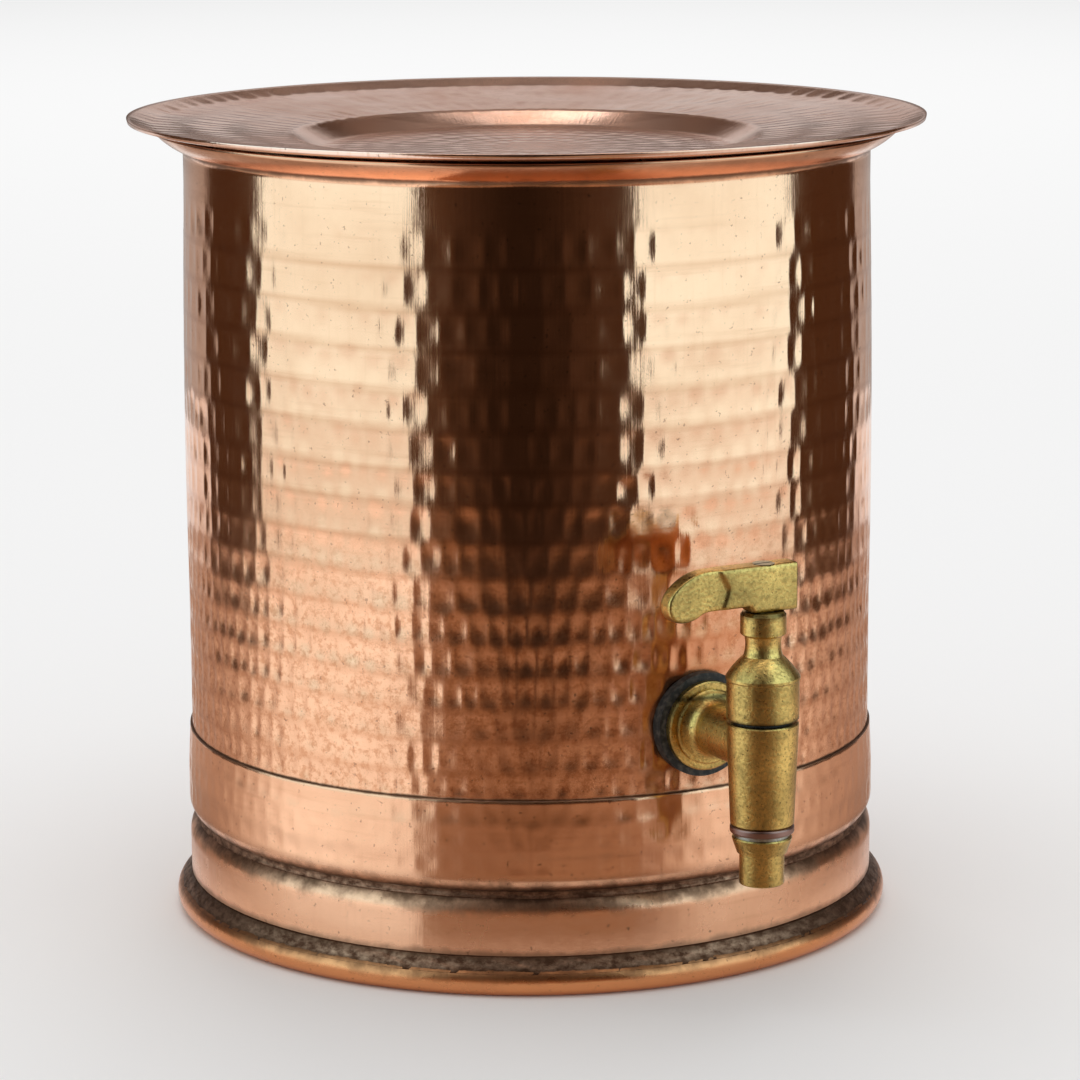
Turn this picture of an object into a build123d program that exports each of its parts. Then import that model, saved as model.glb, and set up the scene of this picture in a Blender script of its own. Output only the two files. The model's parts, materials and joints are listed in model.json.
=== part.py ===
from build123d import *
import math
import os

# Hammered copper water dispenser: a cylindrical vessel soldered into a base pan on a stand ring,
# a plate-shaped lid that lifts off, and a brass plug tap turned by a lever.
# Millimetres. +Z is up, Z = 0 is the surface it stands on, the vessel's axis is the Z axis,
# and the tap points along -Y.

# ---------------------------------------------------------------- driving dimensions
SHEET = 0.8                 # copper sheet of every vessel part

# Foot bead: a rolled tube round a wire, under the stand ring
BEAD_RING_R = 122.0         # radius of the bead's centre circle
BEAD_R = 5.0
BEAD_Z = 4.9                # a little below its radius, so the bead has a worn flat to stand on
BEAD_SLIT = 2.0
WIRE_R = 4.15

# Stand ring
STAND_R = 121.9
STAND_SHOULDER_R = 7.0
STAND_FLANGE_IN_R = 100.0
STAND_LOW_Z = 10.0          # just clear of the bead

# Base pan
PAN_Z = 34.0                # underside of the pan's floor
PAN_R = 122.1
PAN_CORNER_R = 6.0
PAN_STRAIGHT_Z = 52.0       # the wall leans in above this height
PAN_TOP_Z = 66.2
PAN_TOP_R = 121.4

# Solder: in the groove under the pan, in the corner above the bead, and round the floor inside
GROOVE_FACE_R = 119.5
GROOVE_SIDES = 3            # straight sides of the solder against each round wall
FILLET_TOP_Z = 13.2
FILLET_MID = (123.7, 11.1)
FILLET_LOW_R = 125.9
SEAM_RUN = 2.0              # how far the inner fillet reaches up the wall and in from the corner
SEAM_FILLET_R = 9.0

# Body shell
BODY_BOTTOM_Z = 40.2
BODY_LOW_R = PAN_R - SHEET
BODY_R = PAN_TOP_R - SHEET
BODY_STRAIGHT_Z = 112.0     # a plain cylinder up to here, where the tap is fitted
BODY_BELLY = (120.9, 165.0)
BODY_NECK_R = 119.5
BODY_NECK_Z = 258.0
LIP_CREASE_Z = 270.0
LIP_MID = (125.2, 272.9)
LIP_TIP = (129.7, 276.9)

# Lid: a dish with a hammered flange, heights of its upper surface
LID_RIM = (138.6, 281.4)
LID_BEND = (130.0, 278.9)
LID_STEP_TOP = (82.0, 274.4)
LID_STEP_LOW = (72.0, 269.2)
LID_HEM = 3.2               # width of the fold under the rim
COLLAR_R = 117.4
COLLAR_BEND_R = 1.5
COLLAR_PLAY = 0.01          # between the collar's flange and the lid
COLLAR_DEPTH_Z = 262.0
COLLAR_FLANGE_R = 110.0

# Tap: its vertical axis stands TAP_REACH out from the vessel's axis
TAP_REACH = 160.0
SHANK_Z = 89.0
SHANK_R = 8.6
SHANK_BORE_R = 5.0
FLANGE_FACE = 123.8         # distances from the vessel's axis, along the shank
FLANGE_FRONT = 126.4
FLANGE_R = 15.0
RING_FRONT = 127.8
RING_R = 12.6
TRUMPET_LOW_R = 11.3
TRUMPET_MID = (129.4, 9.35)
TRUMPET_END = 133.5
TAIL_END = 98.8
TAIL_R = 10.45              # 1/2 inch pipe thread, plain at its major diameter
WALL_HOLE_R = 10.7
SEAL_OUT_R = 17.5
SEAL_IN_R = 16.0
SEAL_FACE = 116.4
BACKING_T = 1.2
BACKING_R = 15.5
NUT_T = 8.0
NUT_FLATS = 27.0
NUT_CHAMFER = 1.2

BARREL_LOW = (10.4, 64.0)
BARREL_TOP = (11.75, 98.0)
BORE_LOW_R = 6.9
BORE_TOP_R = 8.6
PLUG_PLAY = 0.04            # radial clearance of the ground taper
PLUG_CONE_LOW_Z = 65.0
HEAD_Z = 99.2
HEAD_R = 11.8
HEAD_LIP = (12.1, 113.2)
SHOULDER_MID = (9.7, 116.6)
NECK_R = 5.9
NECK_LOW_Z = 120.0
NECK_TOP_Z = 127.0
COLLAR_TOP_R = 7.45
LEVER_SEAT_Z = 134.6
TANG = 5.0
TANG_TOP_Z = 146.5
PLUG_TAIL_R = 5.5
PLUG_TAIL_Z = 50.5
PLUG_BORE_R = 3.6
PLUG_BORE_TOP_Z = 93.0
PORT_R = 4.2
PLUG_SEAL_IN_R = 8.75
PLUG_SEAL_OUT_R = 9.5
LUG_IN_R = 9.9
LUG_OUT_R = 10.9
LUG_W = 2.4
LUG_TOP_Z = 100.6
LUG_PLAY = 0.2
TURN = 90.0                 # the tap's travel, closed to open

NOZZLE_Z = 44.0
NOZZLE_R = 7.35
NOZZLE_BORE_R = 4.5
NOZZLE_HEAD_LOW_Z = 54.3     # where the spout widens into its head
NOZZLE_HEAD_R = 9.8
NOZZLE_TOP_Z = 60.0
SPRING_R = 9.0
SPRING_T = 1.2
COPPER_WASHER_R = 10.5
COPPER_WASHER_T = 2.7

LEVER_TOP_Z = 150.3
LEVER_T = 7.6               # thickness at the hub
LEVER_EDGE_R = 0.7
HUB_END = 11.0
PADDLE_T = 6.2
PADDLE_ROOT_X = -21.0       # where the top edge starts to fall
PADDLE_UNDER = (-19.0, 137.0)
SHOULDER_POINT = (-14.5, 143.6)
SCREW_HEAD_R = 3.6
SCREW_R = 2.0
SCREW_THREAD_R = 1.65
SCREW_THREAD_L = 7.5
SCREW_HOLE_L = 9.0
SCREW_SLOT_W = 0.9
SCREW_SLOT_DEPTH = 0.8


# ---------------------------------------------------------------- helpers
def turned(section, axis=Axis.Z):
    """A ring or disc from a section drawn as (radius, height)."""
    return revolve(Plane.XZ * section, axis=axis)


def sheet_section(path, side):
    """The closed section of a bent sheet whose one face is the path."""
    return make_face(Wire(path.edges()).offset_2d(SHEET, side=side).edges())


def tube_section(inner_r, outer_r, low, high):
    """The section of a plain washer or sleeve."""
    return Pos((inner_r + outer_r) / 2, (low + high) / 2) * Rectangle(outer_r - inner_r, high - low)


def along_shank(inner_r, outer_r, near, far):
    """A sleeve on the shank's axis, between two distances from the vessel's axis."""
    axis = Plane(origin=(0, -near, SHANK_Z), z_dir=(0, -1, 0))
    ring = Circle(outer_r) - Circle(inner_r) if inner_r else Circle(outer_r)
    return axis * extrude(ring, far - near)


def at_tap(shape):
    return Pos(0, -TAP_REACH, 0) * shape


def save(name, shape):
    export_step(shape, f"parts/{name}.step")


# ---------------------------------------------------------------- vessel
def body_wall():
    """The body shell's outer face, from its bottom edge to the tip of the lip."""
    foot = Polyline(
        (BODY_LOW_R, BODY_BOTTOM_Z),
        (BODY_LOW_R, PAN_STRAIGHT_Z),
        (BODY_R, PAN_TOP_Z),
        (BODY_R, BODY_STRAIGHT_Z),
    )
    belly = ThreePointArc((BODY_R, BODY_STRAIGHT_Z), BODY_BELLY, (BODY_NECK_R, BODY_NECK_Z))
    neck = Line((BODY_NECK_R, BODY_NECK_Z), (BODY_NECK_R, LIP_CREASE_Z))
    lip = ThreePointArc((BODY_NECK_R, LIP_CREASE_Z), LIP_MID, LIP_TIP)
    return foot + belly + neck + lip


def make_body_shell():
    shell = turned(sheet_section(body_wall(), Side.LEFT))
    return shell - along_shank(0, WALL_HOLE_R, TAIL_END, TAP_REACH)


def make_base_pan():
    """A raised pan whose wall clasps the foot of the body shell."""
    corner_r = PAN_R - PAN_CORNER_R
    inner_corner = PAN_CORNER_R - SHEET
    outline = [
        Line((0, PAN_Z), (corner_r, PAN_Z)),
        RadiusArc((corner_r, PAN_Z), (PAN_R, PAN_Z + PAN_CORNER_R), -PAN_CORNER_R),
        Polyline(
            (PAN_R, PAN_Z + PAN_CORNER_R),
            (PAN_R, PAN_STRAIGHT_Z),
            (PAN_TOP_R, PAN_TOP_Z),
            (BODY_R, PAN_TOP_Z),
            (BODY_LOW_R, PAN_STRAIGHT_Z),
            (BODY_LOW_R, PAN_Z + PAN_CORNER_R),
        ),
        RadiusArc((BODY_LOW_R, PAN_Z + PAN_CORNER_R), (corner_r, PAN_Z + SHEET), inner_corner),
        Polyline((corner_r, PAN_Z + SHEET), (0, PAN_Z + SHEET), (0, PAN_Z)),
    ]
    return turned(make_face([edge for part in outline for edge in part.edges()]))


def make_inner_seam_solder():
    """The fillet that makes the joint of shell and pan watertight, inside the vessel."""
    inner_r = BODY_LOW_R - SHEET
    floor_z = PAN_Z + SHEET
    corner_r = PAN_R - PAN_CORNER_R
    wall_foot = (BODY_LOW_R, PAN_Z + PAN_CORNER_R)
    start = (corner_r - SEAM_RUN, floor_z)
    end = (inner_r, BODY_BOTTOM_Z + SEAM_RUN)
    outline = [
        Line(start, (corner_r, floor_z)),
        RadiusArc((corner_r, floor_z), wall_foot, SHEET - PAN_CORNER_R),
        Polyline(wall_foot, (BODY_LOW_R, BODY_BOTTOM_Z), (inner_r, BODY_BOTTOM_Z), end),
        RadiusArc(end, start, SEAM_FILLET_R),
    ]
    return turned(make_face([edge for part in outline for edge in part.edges()]))


def make_stand_ring():
    """The band under the pan, with a flange turned in at its rounded top."""
    shoulder_r = STAND_R - STAND_SHOULDER_R
    shoulder_z = PAN_Z - STAND_SHOULDER_R
    path = (
        Line((STAND_R, STAND_LOW_Z), (STAND_R, shoulder_z))
        + RadiusArc((STAND_R, shoulder_z), (shoulder_r, PAN_Z), -STAND_SHOULDER_R)
        + Line((shoulder_r, PAN_Z), (STAND_FLANGE_IN_R, PAN_Z))
    )
    return turned(sheet_section(path, Side.LEFT))


def bead_circle(radius):
    return Pos(BEAD_RING_R, BEAD_Z) * Circle(radius)


def make_foot_bead():
    """Sheet rolled round the foot wire, open in a narrow slit on its inner side."""
    slit = Pos(BEAD_RING_R, BEAD_Z) * Rot(0, 0, 130) * Pos(BEAD_R, 0) * Rectangle(2 * BEAD_R, BEAD_SLIT)
    floor = Pos(BEAD_RING_R, -BEAD_R / 2) * Rectangle(4 * BEAD_R, BEAD_R)
    return turned(bead_circle(BEAD_R) - bead_circle(BEAD_R - SHEET) - slit - floor)


def make_foot_wire():
    return turned(bead_circle(WIRE_R))


def touching_sides(centre, radius, face_r):
    """Straight sides touching a circle, from beside its centre line out to the radius face_r.

    The circle lies above the solder where radius is negative and below it where it is positive.
    """
    first = math.radians(90)
    last = math.acos((face_r - centre[0]) / abs(radius))
    step = (last - first) / GROOVE_SIDES
    angles = [first] + [first + (i + 0.5) * step for i in range(GROOVE_SIDES)] + [last]
    reach = [1] + [1 / math.cos(step / 2)] * GROOVE_SIDES + [1]
    return [
        (centre[0] + abs(radius) * far * math.cos(angle), centre[1] + radius * far * math.sin(angle))
        for angle, far in zip(angles, reach)
    ]


def make_upper_solder():
    """Solder in the groove between the pan's corner and the stand ring's shoulder."""
    pan_corner = (PAN_R - PAN_CORNER_R, PAN_Z + PAN_CORNER_R)
    shoulder = (STAND_R - STAND_SHOULDER_R, PAN_Z - STAND_SHOULDER_R)
    above = touching_sides(pan_corner, -PAN_CORNER_R, GROOVE_FACE_R)
    below = touching_sides(shoulder, STAND_SHOULDER_R, GROOVE_FACE_R)
    return turned(make_face(Polyline(*above, *reversed(below), close=True).edges()))


def make_lower_solder():
    """The solder fillet between the stand ring and the foot bead."""
    top = (STAND_R, FILLET_TOP_Z)
    low = (FILLET_LOW_R, BEAD_Z + math.sqrt(BEAD_R**2 - (FILLET_LOW_R - BEAD_RING_R) ** 2))
    sides = Polyline(low, (BEAD_RING_R, BEAD_Z), (STAND_R, BEAD_Z), top)
    blank = make_face([*sides.edges(), *ThreePointArc(top, FILLET_MID, low).edges()])
    return turned(blank - bead_circle(BEAD_R))


# ---------------------------------------------------------------- lid
def make_lid_dish():
    """Flat floor, sloped step, gently rising flange and an upturned rim folded under."""
    top = Polyline((0, LID_STEP_LOW[1]), LID_STEP_LOW, LID_STEP_TOP, LID_BEND, LID_RIM)
    dish = turned(sheet_section(top, Side.RIGHT))
    slope = (LID_RIM[1] - LID_BEND[1]) / (LID_RIM[0] - LID_BEND[0])
    hem_in = LID_RIM[0] - LID_HEM
    hem = make_face(
        Polyline(
            (LID_RIM[0], LID_RIM[1] - SHEET),
            (hem_in, LID_RIM[1] - SHEET - slope * LID_HEM),
            (hem_in, LID_RIM[1] - 2 * SHEET - slope * LID_HEM),
            (LID_RIM[0], LID_RIM[1] - 2 * SHEET),
            close=True,
        ).edges()
    )
    return dish + turned(hem)


def make_lid_collar():
    """The ring under the lid that keeps it centred in the mouth."""
    slope = (LID_BEND[1] - LID_STEP_TOP[1]) / (LID_BEND[0] - LID_STEP_TOP[0])
    drop = SHEET * math.hypot(1, slope) + COLLAR_PLAY

    def under(radius):
        return LID_STEP_TOP[1] + slope * (radius - LID_STEP_TOP[0]) - drop

    path = FilletPolyline(
        (COLLAR_R, COLLAR_DEPTH_Z),
        (COLLAR_R, under(COLLAR_R)),
        (COLLAR_FLANGE_R, under(COLLAR_FLANGE_R)),
        radius=COLLAR_BEND_R,
    )
    return turned(sheet_section(path, Side.LEFT))


# ---------------------------------------------------------------- tap, fixed parts
def shank_profile():
    """Tail, flange, raised ring and trumpet, as (distance from the vessel's axis, radius)."""
    points = [
        (TAIL_END, 0),
        (TAIL_END, TAIL_R - 1),
        (TAIL_END + 1, TAIL_R),
        (FLANGE_FACE, TAIL_R),
        (FLANGE_FACE, FLANGE_R),
        (FLANGE_FRONT - 0.5, FLANGE_R),
        (FLANGE_FRONT, FLANGE_R - 0.5),
        (FLANGE_FRONT, RING_R),
        (RING_FRONT - 0.5, RING_R),
        (RING_FRONT, RING_R - 0.5),
        (RING_FRONT, TRUMPET_LOW_R),
    ]
    trumpet = ThreePointArc((RING_FRONT, TRUMPET_LOW_R), TRUMPET_MID, (TRUMPET_END, SHANK_R))
    end = Polyline((TRUMPET_END, SHANK_R), (TAP_REACH, SHANK_R), (TAP_REACH, 0), (TAIL_END, 0))
    return make_face([*Polyline(*points).edges(), *trumpet.edges(), *end.edges()])


def make_tap_body():
    """The casting: a tapered barrel on a shank, with a stop lug on the barrel's rear rim."""
    side_view = Plane(origin=(0, 0, SHANK_Z), x_dir=(0, -1, 0), z_dir=(1, 0, 0))
    shank = revolve(side_view * shank_profile(), axis=Axis((0, 0, SHANK_Z), (0, -1, 0)))
    outside = Polyline(
        (0, BARREL_LOW[1]),
        (BARREL_LOW[0] - 0.5, BARREL_LOW[1]),
        (BARREL_LOW[0], BARREL_LOW[1] + 0.5),
        (BARREL_TOP[0], BARREL_TOP[1] - 0.4),
        (BARREL_TOP[0] - 0.4, BARREL_TOP[1]),
        (0, BARREL_TOP[1]),
        close=True,
    )
    inside = Polyline(
        (0, BARREL_LOW[1]),
        (BORE_LOW_R, BARREL_LOW[1]),
        (BORE_TOP_R, BARREL_TOP[1]),
        (0, BARREL_TOP[1]),
        close=True,
    )
    barrel = at_tap(turned(make_face(outside.edges())))
    taper = at_tap(turned(make_face(inside.edges())))
    lug_ring = turned(tube_section(LUG_IN_R, LUG_OUT_R, BARREL_TOP[1] - 0.5, LUG_TOP_Z))
    lug = at_tap(lug_ring & Pos(0, LUG_OUT_R, LUG_TOP_Z) * Box(LUG_W, LUG_OUT_R, LUG_OUT_R))
    water_way = along_shank(0, SHANK_BORE_R, TAIL_END, TAP_REACH)
    return (barrel + shank) - taper - water_way + lug


def make_outer_washer():
    blank = along_shank(WALL_HOLE_R, SEAL_OUT_R, SEAL_FACE, FLANGE_FACE)
    return blank - Cylinder(BODY_R, 4 * SHANK_Z)


def make_inner_washer():
    blank = along_shank(WALL_HOLE_R, SEAL_IN_R, SEAL_FACE, BODY_R)
    return blank & Cylinder(BODY_R - SHEET, 4 * SHANK_Z)


def make_backing_washer():
    return along_shank(WALL_HOLE_R, BACKING_R, SEAL_FACE - BACKING_T, SEAL_FACE)


def make_back_nut():
    """A hexagon nut with its corners turned off."""
    near = SEAL_FACE - BACKING_T - NUT_T
    place = Plane(origin=(0, -near, SHANK_Z), z_dir=(0, -1, 0))
    corner_r = NUT_FLATS / math.sqrt(3)
    hexagon = place * extrude(RegularPolygon(corner_r, 6) - Circle(TAIL_R), NUT_T)
    turned_blank = chamfer(Cylinder(corner_r, NUT_T).edges().filter_by(GeomType.CIRCLE), NUT_CHAMFER)
    return hexagon & place * (Pos(0, 0, NUT_T / 2) * turned_blank)


# ---------------------------------------------------------------- tap, turning parts
def plug_cone_r(z):
    """Radius of the ground taper, less its play."""
    share = (z - BARREL_LOW[1]) / (BARREL_TOP[1] - BARREL_LOW[1])
    return BORE_LOW_R + share * (BORE_TOP_R - BORE_LOW_R) - PLUG_PLAY


def plug_section():
    lower = Polyline(
        (0, PLUG_TAIL_Z),
        (PLUG_TAIL_R - 0.5, PLUG_TAIL_Z),
        (PLUG_TAIL_R, PLUG_TAIL_Z + 0.5),
        (PLUG_TAIL_R, PLUG_CONE_LOW_Z),
        (plug_cone_r(PLUG_CONE_LOW_Z), PLUG_CONE_LOW_Z),
        (plug_cone_r(HEAD_Z), HEAD_Z),
        (HEAD_R - 0.3, HEAD_Z),
        (HEAD_R, HEAD_Z + 0.3),
        (HEAD_R, HEAD_LIP[1] - 1.2),
        (HEAD_LIP[0], HEAD_LIP[1] - 0.8),
        HEAD_LIP,
    )
    shoulder = ThreePointArc(HEAD_LIP, SHOULDER_MID, (NECK_R + 0.5, NECK_LOW_Z))
    waist = ThreePointArc(
        (NECK_R + 0.5, NECK_LOW_Z), (NECK_R - 0.1, NECK_LOW_Z + 3), (NECK_R + 0.2, NECK_TOP_Z - 0.5)
    )
    upper = Polyline(
        (NECK_R + 0.2, NECK_TOP_Z - 0.5),
        (COLLAR_TOP_R - 0.4, NECK_TOP_Z),
        (COLLAR_TOP_R, NECK_TOP_Z + 0.4),
        (COLLAR_TOP_R, LEVER_SEAT_Z - 1.0),
        (COLLAR_TOP_R - 0.8, LEVER_SEAT_Z),
        (0, LEVER_SEAT_Z),
        (0, PLUG_TAIL_Z),
    )
    return make_face([*lower.edges(), *shoulder.edges(), *waist.edges(), *upper.edges()])


def stop_slot():
    """The arc slot under the plug's head that the stop lug runs in."""
    margin = math.degrees((LUG_W / 2 + LUG_PLAY) / LUG_IN_R)
    section = tube_section(
        LUG_IN_R - LUG_PLAY, LUG_OUT_R + LUG_PLAY, HEAD_Z - 1, LUG_TOP_Z + LUG_PLAY
    )
    sweep = revolve(Plane.XZ * section, axis=Axis.Z, revolution_arc=TURN + 2 * margin)
    return Rot(0, 0, 90 + margin) * Rot(0, 0, -TURN - 2 * margin) * sweep


def make_plug():
    """Hollow ground plug with a side port, a head, a neck and a square tang for the lever."""
    plug = turned(plug_section())
    tang = Pos(0, 0, (LEVER_SEAT_Z + TANG_TOP_Z) / 2) * Box(TANG, TANG, TANG_TOP_Z - LEVER_SEAT_Z)
    plug += tang
    bore_height = PLUG_BORE_TOP_Z - PLUG_TAIL_Z
    plug -= Pos(0, 0, PLUG_TAIL_Z + bore_height / 2) * Cylinder(PLUG_BORE_R, bore_height)
    port = Plane(origin=(0, 0, SHANK_Z), z_dir=(1, 0, 0)) * extrude(Circle(PORT_R), HEAD_R)
    plug -= port
    plug -= Pos(0, 0, TANG_TOP_Z - SCREW_HOLE_L / 2) * Cylinder(SCREW_THREAD_R, SCREW_HOLE_L)
    return at_tap(plug - stop_slot())


def make_plug_seal():
    """A seal that turns with the plug, just clear of the barrel's rim."""
    low = BARREL_TOP[1] + PLUG_PLAY
    return at_tap(turned(tube_section(PLUG_SEAL_IN_R, PLUG_SEAL_OUT_R, low, HEAD_Z)))


def lever_outline():
    """Side view of the lever as (distance from the plug's axis, height); the paddle is at -X."""
    paddle = Spline(
        (PADDLE_ROOT_X, LEVER_TOP_Z),
        (-31.6, 147.0),
        (-36.6, 140.4),
        (-35.0, 135.6),
        (-30.5, 134.2),
        (-25.2, 135.7),
        PADDLE_UNDER,
        tangents=((-1, 0), (1, 0)),
    )
    hub = Polyline(
        PADDLE_UNDER,
        (-7.0, PADDLE_UNDER[1]),
        (-5.5, LEVER_SEAT_Z),
        (HUB_END, LEVER_SEAT_Z),
        (HUB_END, LEVER_TOP_Z),
        (PADDLE_ROOT_X, LEVER_TOP_Z),
    )
    return make_face([*paddle.edges(), *hub.edges()])


def paddle_relief():
    """What is cut from each side of the paddle, up to a pointed shoulder near the hub."""
    far_x, above_z, below_z = -45.0, 155.0, 130.0
    outline = Polyline(
        (far_x, above_z),
        (PADDLE_ROOT_X, above_z),
        SHOULDER_POINT,
        (-19.5, below_z),
        (far_x, below_z),
        close=True,
    )
    return make_face(outline.edges())


def make_lever():
    """A flat cast lever with a thinner paddle, on the plug's square tang."""
    side = Plane.XZ
    lever = extrude(side * lever_outline(), LEVER_T / 2, both=True)
    lever = fillet(lever.edges().filter_by(Plane.XZ), LEVER_EDGE_R)
    slab = extrude(side * paddle_relief(), LEVER_T, both=True)
    keep = extrude(side * paddle_relief(), PADDLE_T / 2, both=True)
    lever -= slab - keep
    lever -= Pos(0, 0, (LEVER_SEAT_Z + TANG_TOP_Z) / 2) * Box(TANG, TANG, TANG_TOP_Z - LEVER_SEAT_Z)
    lever -= screw_shape(SCREW_HEAD_R, SCREW_R)
    return at_tap(lever)


def screw_shape(head_r, shaft_r):
    """Countersunk head and plain shaft, down to the top of the tang."""
    cone_low_z = LEVER_TOP_Z - (head_r - shaft_r)
    return turned(
        make_face(
            Polyline(
                (0, TANG_TOP_Z),
                (shaft_r, TANG_TOP_Z),
                (shaft_r, cone_low_z),
                (head_r, LEVER_TOP_Z),
                (0, LEVER_TOP_Z),
                close=True,
            ).edges()
        )
    )


def make_lever_screw():
    screw = screw_shape(SCREW_HEAD_R, SCREW_R)
    screw += Pos(0, 0, TANG_TOP_Z - SCREW_THREAD_L / 2) * Cylinder(SCREW_THREAD_R, SCREW_THREAD_L)
    screw -= Pos(0, 0, LEVER_TOP_Z) * Box(3 * SCREW_HEAD_R, SCREW_SLOT_W, 2 * SCREW_SLOT_DEPTH)
    return at_tap(screw)


def make_nozzle():
    """The spout, screwed on the plug's tail; it draws the plug down into its taper."""
    outside = Polyline(
        (NOZZLE_BORE_R, NOZZLE_Z),
        (NOZZLE_R - 0.3, NOZZLE_Z),
        (NOZZLE_R, NOZZLE_Z + 0.3),
        (NOZZLE_R, NOZZLE_HEAD_LOW_Z),
        (NOZZLE_HEAD_R - 1.6, NOZZLE_HEAD_LOW_Z + 0.3),
        (NOZZLE_HEAD_R - 0.2, NOZZLE_HEAD_LOW_Z + 4.3),
        (NOZZLE_HEAD_R, NOZZLE_TOP_Z - 0.4),
        (NOZZLE_HEAD_R - 0.3, NOZZLE_TOP_Z),
        (PLUG_TAIL_R, NOZZLE_TOP_Z),
        (PLUG_TAIL_R, PLUG_TAIL_Z),
        (NOZZLE_BORE_R, PLUG_TAIL_Z),
        close=True,
    )
    return at_tap(turned(make_face(outside.edges())))


def make_spring_washer():
    section = tube_section(PLUG_TAIL_R + 0.1, SPRING_R, NOZZLE_TOP_Z, NOZZLE_TOP_Z + SPRING_T)
    return at_tap(turned(section))


def make_copper_washer():
    low = NOZZLE_TOP_Z + SPRING_T
    section = tube_section(PLUG_TAIL_R + 0.1, COPPER_WASHER_R, low, low + COPPER_WASHER_T)
    rim = section.vertices().sort_by(Axis.X)[-2:]
    return at_tap(turned(fillet(rim, COPPER_WASHER_T * 0.3)))


# ---------------------------------------------------------------- export
def main():
    os.makedirs("parts", exist_ok=True)
    makers = {
        "body_shell": make_body_shell,
        "base_pan": make_base_pan,
        "inner_seam_solder": make_inner_seam_solder,
        "stand_ring": make_stand_ring,
        "upper_solder": make_upper_solder,
        "foot_bead": make_foot_bead,
        "foot_wire": make_foot_wire,
        "lower_solder": make_lower_solder,
        "lid_dish": make_lid_dish,
        "lid_collar": make_lid_collar,
        "tap_body": make_tap_body,
        "outer_washer": make_outer_washer,
        "inner_washer": make_inner_washer,
        "backing_washer": make_backing_washer,
        "back_nut": make_back_nut,
        "plug": make_plug,
        "plug_seal": make_plug_seal,
        "lever": make_lever,
        "lever_screw": make_lever_screw,
        "nozzle": make_nozzle,
        "spring_washer": make_spring_washer,
        "copper_washer": make_copper_washer,
    }
    for name, make in makers.items():
        save(name, make())


main()
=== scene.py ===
"""A hammered copper water dispenser with a brass lever tap.

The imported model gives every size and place; this script gives the looks. Metres, +Z up, the
vessel's axis on Z and the tap towards -Y. The hammered copper is real geometry: the shell, pan,
stand ring and lid are turned from their sections and then dented, mark by mark.
"""

import json
import math

import bmesh
import bpy
import numpy as np
from mathutils import Matrix, Vector


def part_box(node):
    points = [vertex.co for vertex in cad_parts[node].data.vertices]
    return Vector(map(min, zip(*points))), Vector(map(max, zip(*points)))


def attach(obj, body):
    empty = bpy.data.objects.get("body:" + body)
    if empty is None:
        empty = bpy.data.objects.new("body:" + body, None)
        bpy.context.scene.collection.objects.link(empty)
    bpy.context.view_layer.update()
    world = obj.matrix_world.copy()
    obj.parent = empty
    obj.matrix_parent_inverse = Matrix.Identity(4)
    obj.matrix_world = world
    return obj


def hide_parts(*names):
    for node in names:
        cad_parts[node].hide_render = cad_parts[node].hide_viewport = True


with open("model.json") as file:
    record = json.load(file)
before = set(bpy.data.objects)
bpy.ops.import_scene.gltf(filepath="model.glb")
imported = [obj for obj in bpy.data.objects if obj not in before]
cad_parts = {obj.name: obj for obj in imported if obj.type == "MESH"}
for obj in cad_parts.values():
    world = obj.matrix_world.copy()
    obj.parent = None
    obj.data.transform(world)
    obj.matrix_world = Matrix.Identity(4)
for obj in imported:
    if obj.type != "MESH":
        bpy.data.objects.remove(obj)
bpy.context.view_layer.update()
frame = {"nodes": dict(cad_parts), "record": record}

MM = 0.001

# Camera, in the photograph's place: the tap stands 28 degrees to the right of the line of sight.
CAMERA_TURN = math.radians(-28.0)
CAMERA_AWAY = 1.4064
CAMERA_HEIGHT = 0.4174
CAMERA_PITCH = math.radians(11.58)
CAMERA_YAW = math.radians(0.16)
CAMERA_ROLL = math.radians(-0.29)
LENS_MM = 134.6

# Finished metals, linear colour
COPPER = (0.94, 0.50, 0.30)
LID_COPPER = (0.92, 0.60, 0.465)
BEAD_COPPER = (0.82, 0.34, 0.14)
COPPER_DULL = (0.60, 0.25, 0.12)
COPPER_BLACK = (0.075, 0.032, 0.016)
COPPER_RUST = (0.52, 0.13, 0.03)
BRASS = (0.80, 0.51, 0.155)
BRASS_DARK = (0.24, 0.152, 0.046)
BRASS_BLACK = (0.05, 0.035, 0.014)
SOLDER_DARK = (0.095, 0.040, 0.022)
SOLDER_LIGHT = (0.46, 0.25, 0.155)
RUBBER_BLACK = (0.010, 0.009, 0.008)
RUBBER_DUST = (0.085, 0.070, 0.054)
STEEL_DARK = (0.30, 0.28, 0.24)
STEEL_LIGHT = (0.50, 0.47, 0.41)

# Radius of the wall that mirrors the studio, between the pan and the neck
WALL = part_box("base_pan")[1].x - 1.5 * MM

# Where the mirrored studio changes on the vessel's wall, in degrees from the line of sight
DARK_LEFT, DARK_RIGHT = -17.6, 17.2
BRIGHT_LEFT, BRIGHT_RIGHT = -47.5, 46.5
EDGE_LEFT, EDGE_RIGHT = -64.3, 67.6
# How light the studio is along the wall, as (degrees, share): the front flag high up and near the
# table, and the table top to both sides
FRONT_ABOVE = (
    (-17.6, 3.6), (-14.2, 3.3), (-10.7, 2.3), (-7.3, 1.6), (-3.9, 1.0), (0.3, 0.85), (5.4, 1.5), (10.6, 2.7)
)
FRONT_BELOW = (-17.6, 2.4), (-8.0, 2.4), (0.0, 1.7), (12.0, 2.0), (17.2, 1.5)
TABLE_LEFT = (-75.0, 0.50), (-65.0, 0.46), (-58.0, 0.54), (-50.0, 0.86), (-40.0, 1.19)
TABLE_RIGHT = (17.2, 0.36), (20.0, 0.42), (30.0, 0.98), (42.0, 0.88), (55.0, 0.60), (67.6, 0.46)
APRON_END = 79.0

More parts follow.
